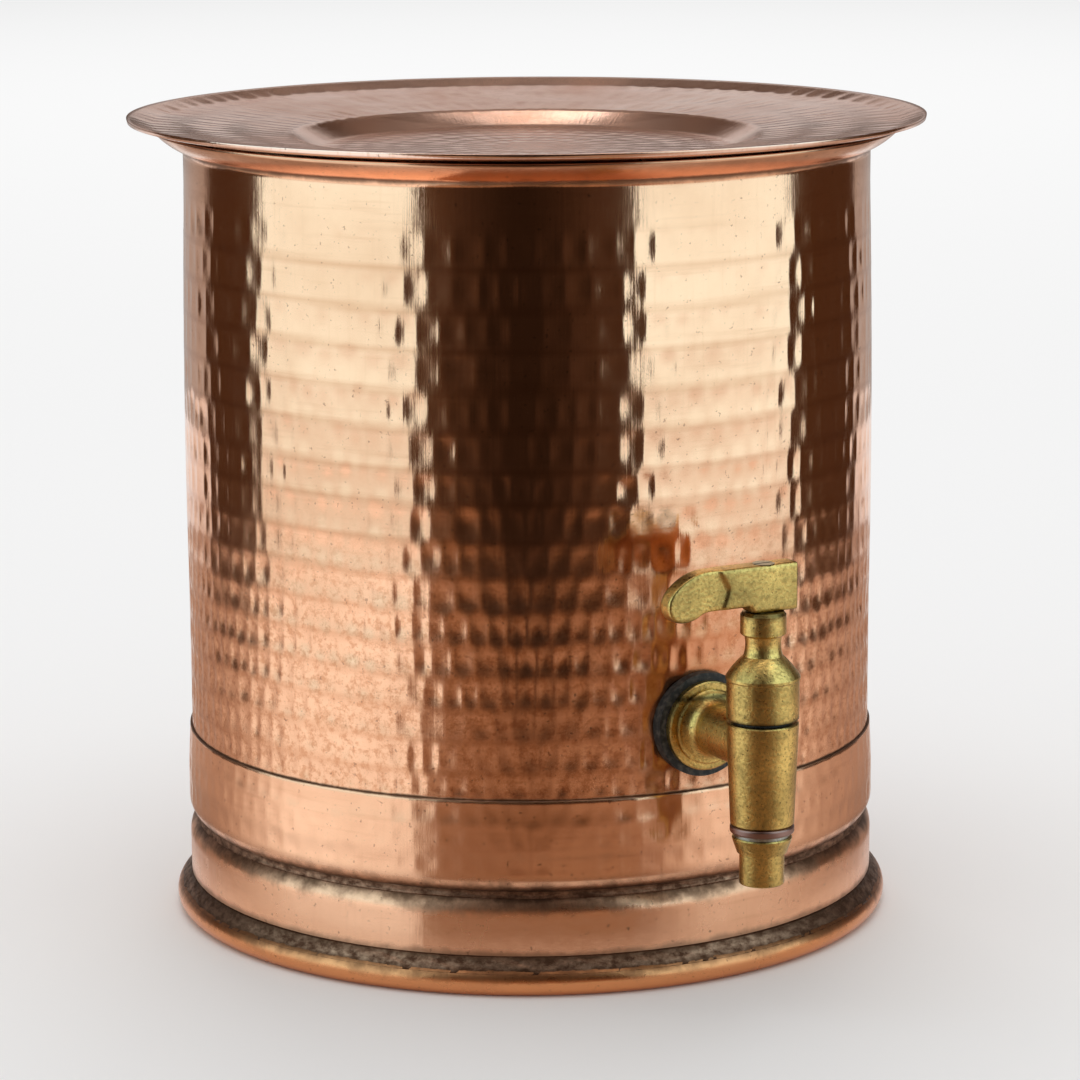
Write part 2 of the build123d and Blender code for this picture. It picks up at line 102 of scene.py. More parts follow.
# Where the studio stands, in metres from the vessel's axis
APRON_START = 0.165
# Painted shade: the glowing table top is dimmer near the vessel, standing in for the vessel's shadow on the
# table.
APRON_SHADE_REACH = 0.15              # the table top is dimmer over this distance from its start
APRON_SHADE_SHARE = 0.66
FRONT_NEAR, FRONT_AWAY = 0.30, 0.62
FLAG_AWAY = 0.60
SOFTBOX_AWAY = 0.73
BACKDROP_AWAY = 1.1
STUDIO_TOP = 1.3               # how high the standing cards reach
FLOOR_HALF = 12.0
FLAG_COLOUR = (0.066, 0.034, 0.017)
CARD_COLUMNS = 17

# The vessel's shape, in mm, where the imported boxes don't give it
SHEET = 0.8
PAN_STRAIGHT = 52.0            # height above which pan and shell lean in
BODY_STRAIGHT = 112.0          # a plain cylinder up to here, and a slight belly above
LIP_RISE = 7.4                 # from the crease in the neck up to the lip
DIAGONAL = 0.7071              # the middle of a quarter round


# ------------------------------------------------------------------ camera and studio
def around(turn_deg, radius, height):
    """A point round the vessel; turn_deg is from the line of sight, positive to the picture's right."""
    angle = CAMERA_TURN - math.pi / 2 + math.radians(turn_deg)
    return Vector((radius * math.cos(angle), radius * math.sin(angle), height))


def mirrored(wall_turn, radius):
    """Where something at this radius stands, in degrees, to be mirrored at wall_turn on the vessel."""
    turn = math.radians(wall_turn)
    sight = math.atan2(WALL * math.sin(turn), CAMERA_AWAY - WALL * math.cos(turn))
    leaving = 2 * turn + sight
    return math.degrees(leaving - math.asin(WALL * math.sin(leaving - turn) / radius))


def make_camera():
    """The lens, height and tilt found for the photograph, without shift."""
    forward = Vector((math.sin(CAMERA_YAW), math.cos(CAMERA_YAW), -math.tan(CAMERA_PITCH))).normalized()
    right = forward.cross(Vector((0, 0, 1))).normalized()
    up = right.cross(forward)
    roll = Matrix.Rotation(CAMERA_ROLL, 3, -forward)
    axes = Matrix((roll @ right, roll @ up, -forward)).transposed().to_4x4()
    place = Matrix.Translation((0, -CAMERA_AWAY, CAMERA_HEIGHT)) @ axes
    data = bpy.data.cameras.new("camera")
    data.lens = LENS_MM
    data.sensor_width = 36.0
    data.clip_start = 0.05
    camera = bpy.data.objects.new("camera", data)
    camera.matrix_world = Matrix.Rotation(CAMERA_TURN, 4, "Z") @ place
    bpy.context.scene.collection.objects.link(camera)
    bpy.context.scene.camera = camera


def stage_mesh(name, points, faces, material):
    """A mesh that belongs to the studio, not to the object."""
    mesh = bpy.data.meshes.new(name)
    mesh.from_pydata([tuple(p) for p in points], [], faces)
    mesh.materials.append(material)
    obj = bpy.data.objects.new(name, mesh)
    bpy.context.scene.collection.objects.link(obj)
    return obj


def glow():
    """A light source whose colour is stored in each point of its mesh."""
    material = bpy.data.materials.new("studio_light")
    material.use_nodes = True
    tree = material.node_tree
    tree.nodes.clear()
    stored = add(tree, "ShaderNodeAttribute", attribute_name="light").outputs["Color"]
    lamp = add(tree, "ShaderNodeEmission", {"Color": stored})
    add(tree, "ShaderNodeOutputMaterial", {"Surface": lamp.outputs[0]})
    return material


def hide_from_view(obj):
    """Only mirror reflections still show it."""
    obj.visible_camera = False
    obj.visible_diffuse = False
    obj.visible_shadow = False
    obj.visible_transmission = False


def sheet(name, rows, material):
    """A card spanned between equally long rows of (point, colour). Only polished metal sees it."""
    count = len(rows[0])
    points = [point for row in rows for point, _ in row]
    faces = [
        (j * count + i, j * count + i + 1, (j + 1) * count + i + 1, (j + 1) * count + i)
        for j in range(len(rows) - 1)
        for i in range(count - 1)
    ]
    obj = stage_mesh(name, points, faces, material)
    colours = [value for row in rows for _, colour in row for value in (*colour, 1.0)]
    obj.data.attributes.new("light", "FLOAT_COLOR", "POINT").data.foreach_set("color", colours)
    hide_from_view(obj)


def share_at(turn, stops):
    """The value at a place on the wall, between (degrees, value) stops."""
    return float(np.interp(turn, *zip(*stops)))


def card(name, wall_turns, radii, stops, material, shade=lambda turn, colour: colour):
    """A standing card that is mirrored between two places on the vessel's wall.

    Its colour follows (height, colour) stops, and shade changes it from place to place.
    """
    places = list(zip(np.linspace(*wall_turns, CARD_COLUMNS), np.linspace(*radii, CARD_COLUMNS)))
    rows = [
        [(around(mirrored(turn, radius), radius, height), shade(turn, colour)) for turn, radius in places]
        for height, colour in stops
    ]
    sheet(name, rows, material)


def apron(name, wall_turns, reach, colour_at, material):
    """A stretch of the table top that is mirrored between two places on the vessel's wall.

    It glows in place of the lit table top, and is dimmer close to the vessel as painted shade of the vessel's
    shadow.
    """
    turns = np.linspace(*wall_turns, CARD_COLUMNS)
    rows = []
    for radius in np.linspace(APRON_START, reach, 16):
        # Painted shade: dimmer near the vessel, for its shadow on the table.
        far = min((radius - APRON_START) / APRON_SHADE_REACH, 1)
        share = APRON_SHADE_SHARE + (1 - APRON_SHADE_SHARE) * far
        rows.append([(around(mirrored(turn, radius), radius, MM), share * colour_at(turn)) for turn in turns])
    sheet(name, rows, material)


def arch(name, stops, material):
    """A curved card behind the vessel, which the lid mirrors."""
    turns = np.linspace(124, 236, CARD_COLUMNS)
    rows = [[(around(turn, BACKDROP_AWAY, height), colour) for turn in turns] for height, colour in stops]
    sheet(name, rows, material)


def table_colour(stops):
    """The glowing table top's colour by place on the wall: the dimmer, the redder, as a painted warm bounce
    from the copper.
    """

    def colour_at(turn):
        share = share_at(turn, stops)
        return share * np.array((1.0, 1.03 * share**0.4, 1.04 * share**0.7))

    return colour_at


def make_mirrored_studio():
    """What the copper mirrors: two tall softboxes, dark flags between them, the table top, a backdrop."""
    light = glow()
    dark = np.array((0.022, 0.013, 0.008))
    softbox = [(0.0, (0.90, 1.08, 1.15)), (0.02, (0.90, 1.08, 1.15)), (0.06, (0.96, 1.22, 1.34))]
    softbox += [(height, (1.12, 1.62, 1.86)) for height in (0.14, STUDIO_TOP)]
    front = (
        (0.0, (0.15, 0.092, 0.058)),
        (0.030, (0.135, 0.081, 0.050)),
        (0.050, (0.070, 0.040, 0.024)),
        (0.072, (0.038, 0.021, 0.012)),
        (0.095, (0.0, 0.0, 0.0)),
        (STUDIO_TOP, (0.0, 0.0, 0.0)),
    )
    side = [(height, FLAG_COLOUR) for height in (0.0, STUDIO_TOP)]

    def front_shade(turn, colour):
        low = share_at(turn, FRONT_BELOW) * np.array(colour)
        return np.maximum(low, share_at(turn, FRONT_ABOVE) * dark)

    # Painted shade with a painted warm bounce: the table in front of the vessel glows dim and warm.
    def front_table(_):
        return np.array((0.37, 0.25, 0.17))

    card("softbox_right", (DARK_RIGHT, BRIGHT_RIGHT), (SOFTBOX_AWAY, SOFTBOX_AWAY), softbox, light)
    card("softbox_left", (DARK_LEFT, BRIGHT_LEFT), (SOFTBOX_AWAY, SOFTBOX_AWAY), softbox, light)
    card("flag_front_right", (0, DARK_RIGHT), (FRONT_NEAR, FRONT_AWAY), front, light, front_shade)
    card("flag_front_left", (0, DARK_LEFT), (FRONT_NEAR, FRONT_AWAY), front, light, front_shade)
    card("flag_right", (BRIGHT_RIGHT, EDGE_RIGHT), (FLAG_AWAY, FLAG_AWAY), side, light)
    card("flag_left", (BRIGHT_LEFT, EDGE_LEFT), (FLAG_AWAY, FLAG_AWAY), side, light)
    apron("apron_front", (DARK_LEFT, DARK_RIGHT), FRONT_AWAY, front_table, light)
    apron("apron_right", (DARK_RIGHT, APRON_END), SOFTBOX_AWAY, table_colour(TABLE_RIGHT), light)
    apron("apron_left", (DARK_LEFT, -APRON_END), SOFTBOX_AWAY, table_colour(TABLE_LEFT), light)

    low_grey, dusk, grey = (0.45, 0.44, 0.43), (0.07, 0.05, 0.04), (0.62, 0.605, 0.60)
    behind = (0.0, low_grey), (0.14, low_grey), (0.20, dusk), (0.38, dusk), (0.46, grey), (0.70, grey)
    arch("backdrop", behind, light)
    arch("flag_high", [(height, FLAG_COLOUR) for height in (0.70, 1.9)], light)


def make_room():
    """A pale floor, two soft lamps and an even white sky."""
    pale = matt("floor", (0.86, 0.86, 0.86), 0.95)
    pale.node_tree.nodes["Principled BSDF"].inputs["Specular IOR Level"].default_value = 0.0
    corners = [(x * FLOOR_HALF, y * FLOOR_HALF, 0) for x, y in ((-1, -1), (1, -1), (1, 1), (-1, 1))]
    stage_mesh("floor", corners, [(0, 1, 2, 3)], pale)

    for name, size, energy, place in (
        ("far_lamp", 2.4, 50.0, around(180, 3.2, 3.5)),
        ("near_lamp", 1.6, 8.0, around(0, 0.1, 2.0)),
    ):
        lamp = bpy.data.lights.new(name, "AREA")
        lamp.shape = "SQUARE"
        lamp.size = size
        lamp.energy = energy
        obj = bpy.data.objects.new(name, lamp)
        obj.location = place
        bpy.context.scene.collection.objects.link(obj)

    world = bpy.data.worlds.new("world")
    bpy.context.scene.world = world
    world.use_nodes = True
    sky = world.node_tree.nodes["Background"]
    sky.inputs["Color"].default_value = (1.0, 1.0, 1.0, 1)
    sky.inputs["Strength"].default_value = 0.74
    bpy.context.scene.view_settings.view_transform = "Standard"


# ------------------------------------------------------------------ shader helpers
def add(tree, kind, inputs=(), **settings):
    """A new shader node; inputs are values, or sockets to link from."""
    new = tree.nodes.new(kind)
    for key, value in settings.items():
        setattr(new, key, value)
    for key, value in dict(inputs).items():
        if isinstance(value, bpy.types.NodeSocket):
            tree.links.new(value, new.inputs[key])
        else:
            new.inputs[key].default_value = value
    return new


def calc(tree, operation, *values):
    """The result of one Math node."""
    return add(tree, "ShaderNodeMath", dict(enumerate(values)), operation=operation).outputs[0]


def principled(name, **values):
    """A material with its node tree and shader; values are the shader's own settings."""
    material = bpy.data.materials.new(name)
    material.use_nodes = True
    tree = material.node_tree
    shader = tree.nodes["Principled BSDF"]
    for key, value in values.items():
        shader.inputs[key.replace("_", " ")].default_value = value
    return material, tree, shader


def stretched(tree, scale):
    """Object coordinates in metres, scaled along each axis."""
    place = add(tree, "ShaderNodeTexCoord")
    return add(tree, "ShaderNodeMapping", {"Vector": place.outputs["Object"], "Scale": scale}).outputs[0]


def noise(tree, vector, scale, detail, rough):
    inputs = {"Vector": vector, "Scale": scale, "Detail": detail, "Roughness": rough}
    return add(tree, "ShaderNodeTexNoise", inputs).outputs["Fac"]


def ramp(tree, fac, *stops):
    """A value from 0 to 1 mapped through (position, grey) stops."""
    new = add(tree, "ShaderNodeValToRGB", {"Fac": fac})
    elements = new.color_ramp.elements
    while len(elements) < len(stops):
        elements.new(0.5)
    for element, (position, grey) in zip(elements, stops):
        element.position = position
        element.color = (grey, grey, grey, 1)
    return new.outputs["Color"]


def toward(tree, amount, colour, tone):
    """A colour mixed with a plain (r, g, b) tone."""
    inputs = {0: amount, 6: colour, 7: (*tone, 1)}
    return add(tree, "ShaderNodeMix", inputs, data_type="RGBA").outputs[2]


def height_of(tree):
    """The height above the floor, in metres."""
    place = add(tree, "ShaderNodeTexCoord")
    return add(tree, "ShaderNodeSeparateXYZ", {0: place.outputs["Object"]}).outputs["Z"]


def map_range(tree, value, low, high, first, last):
    """first at low and last at high, with a soft start and end."""
    inputs = {"Value": value, "From Min": low, "From Max": high, "To Min": first, "To Max": last}
    return add(tree, "ShaderNodeMapRange", inputs, interpolation_type="SMOOTHSTEP").outputs[0]


def dirt_and_shade_bands(tree, wobble, bands):
    """How dark the bands of grime and painted shade are, from (height, reach, strength) in metres, with
    uneven edges.
    """
    height = height_of(tree)
    total = 0.0
    for centre, reach, strength in bands:
        away = calc(tree, "ABSOLUTE", calc(tree, "SUBTRACT", height, centre))
        uneven = map_range(tree, wobble, 0.25, 0.75, -0.25 * reach, 0.25 * reach)
        fade = map_range(tree, calc(tree, "ADD", away, uneven), 0.0, reach, strength, 0.0)
        total = calc(tree, "MAXIMUM", total, fade)
    return total


def spokes(tree):
    """A vector that changes fast round the axis and slowly along a radius."""
    vector = "ShaderNodeVectorMath"
    place = add(tree, "ShaderNodeTexCoord").outputs["Object"]
    flat = add(tree, vector, {0: place, 1: (1, 1, 0)}, operation="MULTIPLY").outputs[0]
    aim = add(tree, vector, {0: flat}, operation="NORMALIZE").outputs[0]
    out = add(tree, vector, {0: flat, 1: (1.2, 1.2, 0)}, operation="MULTIPLY").outputs[0]
    return add(tree, vector, {0: aim, 1: out}, operation="ADD").outputs[0]


def brushed(tree, shader, amount):
    """Marks run round the axis, so highlights spread up and down."""
    tangent = add(tree, "ShaderNodeTangent", direction_type="RADIAL", axis="Z")
    shader.inputs["Anisotropic"].default_value = amount
    shader.inputs["Anisotropic Rotation"].default_value = 0.25
    tree.links.new(tangent.outputs[0], shader.inputs["Tangent"])


def bumpy(tree, shader, height, strength, distance):
    """A fine relief in the shading; distance is in metres."""
    bump = add(tree, "ShaderNodeBump", {"Height": height, "Strength": strength, "Distance": distance})
    tree.links.new(bump.outputs[0], shader.inputs["Normal"])


def matt(name, colour, roughness):
    return principled(name, Base_Color=(*colour, 1), Roughness=roughness)[0]


# ------------------------------------------------------------------ materials
def copper(
    name, rough, base=COPPER, brush=0.6, bands=(), spots=(), satin=None, streaks=None, dulled=0.42
):
    """Satin copper: cloudy patina, fine draw lines, dark pits, dark bands of grime and painted shade, and a
    soft grain.

    rough is the (least, most) roughness and brush how strongly highlights spread up and down. bands are
    dark bands at given heights, grime and in places painted shade, made by the band function above, and
    spots are round ones: (place, full, gone, strength, tone).
    satin is a stretch of height below which the metal is dusty and duller. streaks is how fine the
    marks along a radius are, which take the place of upright draw lines, and dulled is how strong the
    patina is. The mesh's own "ridge" attribute adds patina between the rows of hammer marks.
    """
    material, tree, shader = principled(name, Metallic=1.0)
    even = stretched(tree, (1, 1, 1))
    cloud = noise(tree, even, 16.0, 5.0, 0.62)
    if streaks:
        lines, line_strength = noise(tree, spokes(tree), streaks, 3.0, 0.6), 0.45
    else:
        lines, line_strength = noise(tree, stretched(tree, (1, 1, 0.04)), 700.0, 3.0, 0.6), 0.14
    rings = noise(tree, stretched(tree, (0.06, 0.06, 1)), 380.0, 3.0, 0.6)
    specks = noise(tree, even, 620.0, 2.0, 0.55)
    colour = toward(tree, ramp(tree, cloud, (0.40, 0.0), (0.78, dulled)), (*base, 1), COPPER_DULL)
    colour = toward(tree, ramp(tree, lines, (0.54, 0.0), (0.80, line_strength)), colour, COPPER_DULL)
    colour = toward(tree, ramp(tree, rings, (0.56, 0.0), (0.85, 0.34)), colour, COPPER_DULL)
    ridge = add(tree, "ShaderNodeAttribute", attribute_name="ridge").outputs["Fac"]
    edged = calc(tree, "MULTIPLY", ridge, ramp(tree, cloud, (0.3, 0.25), (0.7, 0.6)))
    colour = toward(tree, edged, colour, COPPER_DULL)
    roughness = map_range(tree, cloud, 0.3, 0.7, *rough)
    if satin:
        low = map_range(tree, height_of(tree), *satin, 1.0, 0.0)
        dust = ramp(tree, noise(tree, even, 330.0, 4.0, 0.75), (0.47, 0.0), (0.62, 0.75))
        colour = toward(tree, calc(tree, "MULTIPLY", dust, low), colour, COPPER_DULL)
        roughness = calc(tree, "ADD", roughness, calc(tree, "MULTIPLY", low, 0.08))
    place = add(tree, "ShaderNodeTexCoord").outputs["Object"]
    for centre, full, gone, strength, tone in spots:
        away = add(tree, "ShaderNodeVectorMath", {0: place, 1: centre}, operation="DISTANCE").outputs["Value"]
        away = calc(tree, "ADD", away, calc(tree, "MULTIPLY", cloud, 0.8 * gone))
        colour = toward(tree, map_range(tree, away, full, gone, strength, 0.0), colour, tone)
    colour = toward(tree, ramp(tree, specks, (0.66, 0.0), (0.76, 0.5)), colour, COPPER_BLACK)
    # Bands of grime, and in places painted shade under the lid's rim and the pan's overhang.
    if bands:
        dirt_and_shade = dirt_and_shade_bands(tree, noise(tree, even, 120.0, 4.0, 0.65), bands)
        colour = toward(tree, dirt_and_shade, colour, COPPER_BLACK)
        roughness = calc(tree, "ADD", roughness, calc(tree, "MULTIPLY", dirt_and_shade, 0.3))
    tree.links.new(colour, shader.inputs["Base Color"])
    tree.links.new(roughness, shader.inputs["Roughness"])
    brushed(tree, shader, brush)
    grain = noise(tree, even, 240.0, 3.0, 0.6)
    bumpy(tree, shader, calc(tree, "ADD", grain, lines), 0.09, 0.4 * MM)
    return material


def brass(joint_grime_and_shade):
    """Aged cast brass: olive in the hollows, speckled, grimy at its joint lines, darker under the lever as
    painted shade, with a sandy skin.
    """
    material, tree, shader = principled("tap_brass", Metallic=1.0)
    even = stretched(tree, (1, 1, 1))
    cloud = noise(tree, even, 75.0, 4.0, 0.62)
    sand = noise(tree, even, 900.0, 3.0, 0.6)
    pits = noise(tree, even, 1300.0, 2.0, 0.5)
    colour = toward(tree, ramp(tree, cloud, (0.36, 0.0), (0.70, 0.75)), (*BRASS, 1), BRASS_DARK)
    colour = toward(tree, ramp(tree, sand, (0.46, 0.0), (0.66, 0.55)), colour, BRASS_DARK)
    colour = toward(tree, ramp(tree, pits, (0.64, 0.0), (0.72, 0.8)), colour, BRASS_BLACK)
    colour = toward(tree, dirt_and_shade_bands(tree, cloud, joint_grime_and_shade), colour, BRASS_BLACK)
    tree.links.new(colour, shader.inputs["Base Color"])
    tree.links.new(map_range(tree, sand, 0.3, 0.7, 0.26, 0.42), shader.inputs["Roughness"])
    bumpy(tree, shader, calc(tree, "ADD", sand, cloud), 0.28, 0.5 * MM)
    return material


def solder(bands):
    """Dull grey solder, darkened by flux at its edges, with a lumpy skin."""
    material, tree, shader = principled("solder", Metallic=1.0)
    even = stretched(tree, (1, 1, 1))
    lumps = noise(tree, stretched(tree, (1, 1, 1.6)), 210.0, 5.0, 0.7)
    colour = toward(tree, ramp(tree, lumps, (0.40, 0.0), (0.72, 0.9)), (*SOLDER_DARK, 1), SOLDER_LIGHT)
    colour = toward(tree, dirt_and_shade_bands(tree, noise(tree, even, 160.0, 3.0, 0.6), bands), colour, COPPER_BLACK)
    tree.links.new(colour, shader.inputs["Base Color"])
    tree.links.new(map_range(tree, lumps, 0.3, 0.7, 0.58, 0.38), shader.inputs["Roughness"])
    bumpy(tree, shader, lumps, 0.5, 0.6 * MM)
    return material


def rubber():
    """Matt black rubber with a dusty bloom."""
    material, tree, shader = principled("seal_rubber", Roughness=0.6)
    even = stretched(tree, (1, 1, 1))
    dust = noise(tree, even, 600.0, 3.0, 0.6)
    colour = toward(tree, ramp(tree, dust, (0.45, 0.0), (0.75, 1.0)), (*RUBBER_BLACK, 1), RUBBER_DUST)
    tree.links.new(colour, shader.inputs["Base Color"])
    bumpy(tree, shader, dust, 0.3, 0.3 * MM)
    return material


def steel(name):
    """Plain steel, dull and faintly streaked."""
    material, tree, shader = principled(name, Metallic=1.0)
    streaks = noise(tree, stretched(tree, (1, 0.1, 1)), 1400.0, 3.0, 0.6)
    colour = toward(tree, ramp(tree, streaks, (0.35, 0.0), (0.7, 1.0)), (*STEEL_DARK, 1), STEEL_LIGHT)
    tree.links.new(colour, shader.inputs["Base Color"])
    inputs = {"Value": streaks, "From Min": 0.3, "From Max": 0.7, "To Min": 0.28, "To Max": 0.45}
    spread = add(tree, "ShaderNodeMapRange", inputs)
    tree.links.new(spread.outputs[0], shader.inputs["Roughness"])
    return material


# ------------------------------------------------------------------ hammering
class Hammering:
    """Rows of shallow dished marks on a surface unrolled to (along, up), both in millimetres.

    Rows are about pitch tall, and marks about width wide and depth deep. Each row has its own number of
    marks, its own start, and marks of uneven width and depth. A taper makes the lower rows lower and the
    upper ones taller. On a disc the rows are rings, and up is the radius.
    """

    def __init__(self, seed, girth, low, high, pitch, width, depth, taper=0.0, disc=False):
        rng = np.random.default_rng(seed)
        self.girth = girth
        rows = max(1, round((high - low) / pitch))
        heights = 1 + 0.05 * rng.standard_normal(rows) + np.linspace(-taper, taper, rows)
        self.edges = low + (high - low) * np.r_[0, np.cumsum(heights)] / heights.sum()
        self.rows = []
        for i, tall in enumerate(heights):
            length = math.pi * (self.edges[i] + self.edges[i + 1]) if disc else girth
            count = round(length / (width * tall * (1 + 0.05 * rng.standard_normal())))
            widths = np.clip(1 + 0.13 * rng.standard_normal(count), 0.65, 1.4)
            marks = np.r_[0, np.cumsum(widths)] / widths.sum()
            row = {
                "marks": marks,
                "start": rng.random(),
                "depth": depth * np.clip(1 + 0.28 * rng.standard_normal(count), 0.35, 1.6),
                "tilt": 0.16 * rng.standard_normal((count, 2)),
                "shift": 0.08 * rng.standard_normal(count),
                "tall": np.clip(0.93 + 0.06 * rng.standard_normal(count), 0.75, 1.02),
            }
            self.rows.append(row)
        self.wave = rng.random(4) * 2 * np.pi

    def wavy(self, along, up):
        """Heights on the unrolled surface, with the rows running a little unevenly round it."""
        turn = along / self.girth * 2 * np.pi
        return up + 0.5 * np.sin(3 * turn + self.wave[0]) + 0.35 * np.sin(7 * turn + self.wave[1])

    def between_rows(self, along, up):
        """1 on the ridge between two rows, and 0 on the rows themselves."""
        away = np.abs(self.wavy(along, up)[:, None] - self.edges).min(axis=1)
        return 1 - smooth_step(away, 0.4, 1.9)

    def depth_at(self, along, up):
        """How deep the surface is pushed in at each point, in millimetres."""
        wavy = self.wavy(along, up)
        depth = np.zeros_like(up)
        which = np.searchsorted(self.edges, wavy) - 1
        for i, row in enumerate(self.rows):
            here = which == i
            if not here.any():
                continue
            share = (along[here] / self.girth + row["start"]) % 1.0
            mark = np.clip(np.searchsorted(row["marks"], share, side="right") - 1, 0, len(row["depth"]) - 1)
            left, right = row["marks"][mark], row["marks"][mark + 1]
            a = 2 * (share - left) / (right - left) - 1
            low, high = self.edges[i], self.edges[i + 1]
            b = (2 * (wavy[here] - low) / (high - low) - 1 - row["shift"][mark]) / row["tall"][mark]
            reach = np.sqrt(np.abs(a) ** 3 + np.abs(b) ** 3)
            dish = 0.5 * ((1 - reach) + np.sqrt((1 - reach) ** 2 + 0.008))
            tilt = 1 + row["tilt"][mark, 0] * a + row["tilt"][mark, 1] * b
            depth[here] = row["depth"][mark] * dish * tilt
        return depth


def smooth_step(x, low, high):
    t = np.clip((x - low) / (high - low), 0, 1)
    return t * t * (3 - 2 * t)


# ------------------------------------------------------------------ turned pieces
def turned(name, section, columns, dent, material):
    """A closed ring or disc turned from a section of (radius, height) in mm, dented along its normals.

    dent(turn, radius, height, index) gives each point's depth in mm, and how far it lies on a ridge
    between rows of marks, from 0 to 1. index is the point's place in the section.
    """
    section = np.array(section, float)
    rows = len(section)
    ahead, behind = np.roll(section, -1, 0), np.roll(section, 1, 0)
    tangent = ahead - behind
    normal = np.stack([tangent[:, 1], -tangent[:, 0]], 1)
    normal /= np.maximum(np.linalg.norm(normal, axis=1, keepdims=True), 1e-9)
    turn = np.linspace(0, 2 * np.pi, columns, endpoint=False)
    turns = np.repeat(turn, rows)
    radius = np.tile(section[:, 0], columns)
    height = np.tile(section[:, 1], columns)
    index = np.tile(np.arange(rows), columns)
    depth, ridge = dent(turns, radius, height, index)
    radius = radius - depth * np.tile(normal[:, 0], columns)
    height = height - depth * np.tile(normal[:, 1], columns)
    points = np.stack([radius * np.cos(turns), radius * np.sin(turns), height], 1) * MM
    column = np.arange(columns)
    here, there = column * rows, (column + 1) % columns * rows
    faces = [
        np.stack([here + i, there + i, there + (i + 1) % rows, here + (i + 1) % rows], 1)
        for i in range(rows)
        if section[i, 0] > 1e-6 or section[(i + 1) % rows, 0] > 1e-6
    ]
    mesh = bpy.data.meshes.new(name)
    mesh.from_pydata(points.tolist(), [], np.concatenate(faces).tolist())
    mesh.validate()
    mesh.attributes.new("ridge", "FLOAT", "POINT").data.foreach_set("value", ridge)
    mesh.materials.append(material)
    obj = bpy.data.objects.new(name, mesh)
    bpy.context.scene.collection.objects.link(obj)
    weld(obj)
    mesh.shade_smooth()
    return obj


def weld(obj):
    """Joins the points that meet on the axis, and turns every face outwards."""
    work = bmesh.new()
    work.from_mesh(obj.data)
    bmesh.ops.remove_doubles(work, verts=work.verts, dist=1e-7)
    bmesh.ops.recalc_face_normals(work, faces=work.faces)
    work.to_mesh(obj.data)
    work.free()


def straight(start, end, steps):
    """Points from start to end, leaving the end itself to the next stretch."""
    share = np.linspace(0, 1, steps, endpoint=False)[:, None]
    return (np.array(start) * (1 - share) + np.array(end) * share).tolist()


def arc(start, middle, end, steps):
    """Points on the circle through three points, leaving out the end."""
    (ax, ay), (bx, by), (cx, cy) = start, middle, end
    d = 2 * (ax * (by - cy) + bx * (cy - ay) + cx * (ay - by))
    a2, b2, c2 = ax * ax + ay * ay, bx * bx + by * by, cx * cx + cy * cy
    ux = (a2 * (by - cy) + b2 * (cy - ay) + c2 * (ay - by)) / d
    uy = (a2 * (cx - bx) + b2 * (ax - cx) + c2 * (bx - ax)) / d
    first = math.atan2(ay - uy, ax - ux)
    last = math.atan2(cy - uy, cx - ux)
    between = math.atan2(by - uy, bx - ux)
    whole = (last - first) % (2 * math.pi)
    if (between - first) % (2 * math.pi) > whole:
        whole -= 2 * math.pi
    radius = math.hypot(ax - ux, ay - uy)
    angles = first + whole * np.linspace(0, 1, steps, endpoint=False)
    return np.stack([ux + radius * np.cos(angles), uy + radius * np.sin(angles)], 1).tolist()


def box_mm(node):
    """Outer radius, lowest and highest point of a turned CAD node, in mm."""
    low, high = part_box(node)
    return high.x / MM, low.z / MM, high.z / MM


def make_body_shell(material):
    """The hammered cylinder: a tapered foot inside the pan, a slight belly, and a flared lip."""
    lip_r, bottom, top = box_mm("body_shell")
    pan_r, _, pan_top = box_mm("base_pan")
    low_r = pan_r - SHEET
    wall_r = low_r - 0.7
    neck_r = wall_r - 1.1
    crease = top - LIP_RISE
    neck = crease - 12
    belly = (wall_r + 0.3, 165.0)
    lip = (lip_r, top - 0.5)
    girth = 2 * math.pi * wall_r
    outer = (
        straight((low_r, bottom), (low_r, PAN_STRAIGHT), 2)
        + straight((low_r, PAN_STRAIGHT), (wall_r, pan_top), 3)
        + straight((wall_r, pan_top), (wall_r, BODY_STRAIGHT), 26)
        + arc((wall_r, BODY_STRAIGHT), belly, (neck_r, neck), 82)
        + straight((neck_r, neck), (neck_r, crease - 0.4), 7)
        + arc((neck_r + 0.05, crease), (lip_r - 4.5, crease + 2.9), lip, 9)
        + [lip]
    )
    outer_rows = len(outer)
    lip_in = (lip_r - 0.61, top)
    inner = (
        straight(lip_in, (lip_r - 5.0, crease + 3.55), 3)
        + straight((lip_r - 5.0, crease + 3.55), (neck_r + 0.6, crease + 0.7), 3)
        + straight((neck_r - SHEET, crease - 0.6), (neck_r - SHEET, neck), 2)
        + arc((neck_r - SHEET, neck), (belly[0] - SHEET, belly[1]), (wall_r - SHEET, BODY_STRAIGHT), 8)
        + straight((wall_r - SHEET, BODY_STRAIGHT), (wall_r - SHEET, pan_top), 2)
        + straight((wall_r - SHEET, pan_top), (low_r - SHEET, PAN_STRAIGHT), 2)
        + [(low_r - SHEET, PAN_STRAIGHT), (low_r - SHEET, bottom)]
    )
    marks = Hammering(11, girth, pan_top - 1.0, neck - 2.0, 12.3, 7.2, 0.27, taper=0.16)

    def dent(turn, radius, height, index):
        depth = np.zeros_like(height)
        on = (index < outer_rows) & (height > pan_top - 2) & (height < neck)
        ridge = np.zeros_like(height)
        depth[on] = marks.depth_at(turn[on] * wall_r, height[on])
        ridge[on] = marks.between_rows(turn[on] * wall_r, height[on])
        deeper_below = 1.5 - 0.5 * smooth_step(height, BODY_STRAIGHT, 150)
        fade = smooth_step(height, pan_top, pan_top + 4) * (1 - smooth_step(height, neck - 6, neck - 1))
        return depth * fade * deeper_below, ridge * fade

    return turned("hammered_shell", outer + inner, 900, dent, material)


